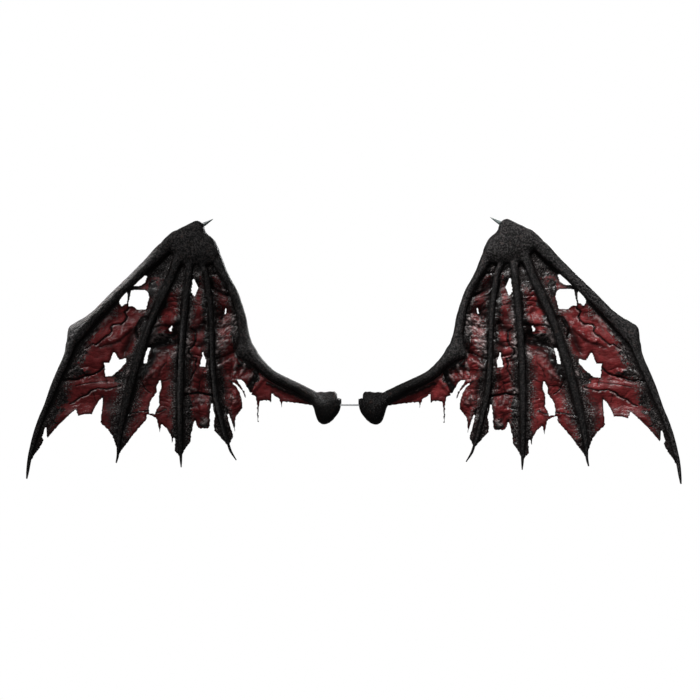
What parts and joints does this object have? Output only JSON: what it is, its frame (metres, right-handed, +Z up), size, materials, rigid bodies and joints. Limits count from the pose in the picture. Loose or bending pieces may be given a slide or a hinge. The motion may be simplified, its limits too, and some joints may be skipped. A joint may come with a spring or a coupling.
{
  "type": "vampire costume wings",
  "caption": "Torn bat wings for a costume: dark clawed arm and finger bones carry ragged red skin panels, joined by a short flat bar at the roots.",
  "frame": {"origin": "middle of the yoke bar, between the two root knobs, where the wings sit against the wearer's back", "axes": "+X across the span towards the right wing as seen from the hollow side, +Y away from the hollow side, +Z up"},
  "size_m": [1.458, 0.1094, 0.6009],
  "materials": {
    "hide": "charred black sculpted foam latex, satin with a pitted grain",
    "skin": "dark oxblood torn skin, wrinkled and half glossy",
    "horn": "pale grey polished claw",
    "steel": "brushed"
  },
  "bodies": {
    "root": {"yoke_bar": "steel", "right_root_knob": "hide", "right_arm": "hide", "right_palm": "hide", "right_finger_1": "hide", "right_finger_2": "hide", "right_finger_3": "hide", "right_finger_4": "hide", "right_claw": "horn", "right_outer_panel": "skin", "right_second_panel": "skin", "right_third_panel": "skin", "right_arm_panel": "skin", "right_root_panel": "skin", "left_root_knob": "hide", "left_arm": "hide", "left_palm": "hide", "left_finger_1": "hide", "left_finger_2": "hide", "left_finger_3": "hide", "left_finger_4": "hide", "left_claw": "horn", "left_outer_panel": "skin", "left_second_panel": "skin", "left_third_panel": "skin", "left_arm_panel": "skin", "left_root_panel": "skin"}
  },
  "joints": []
}
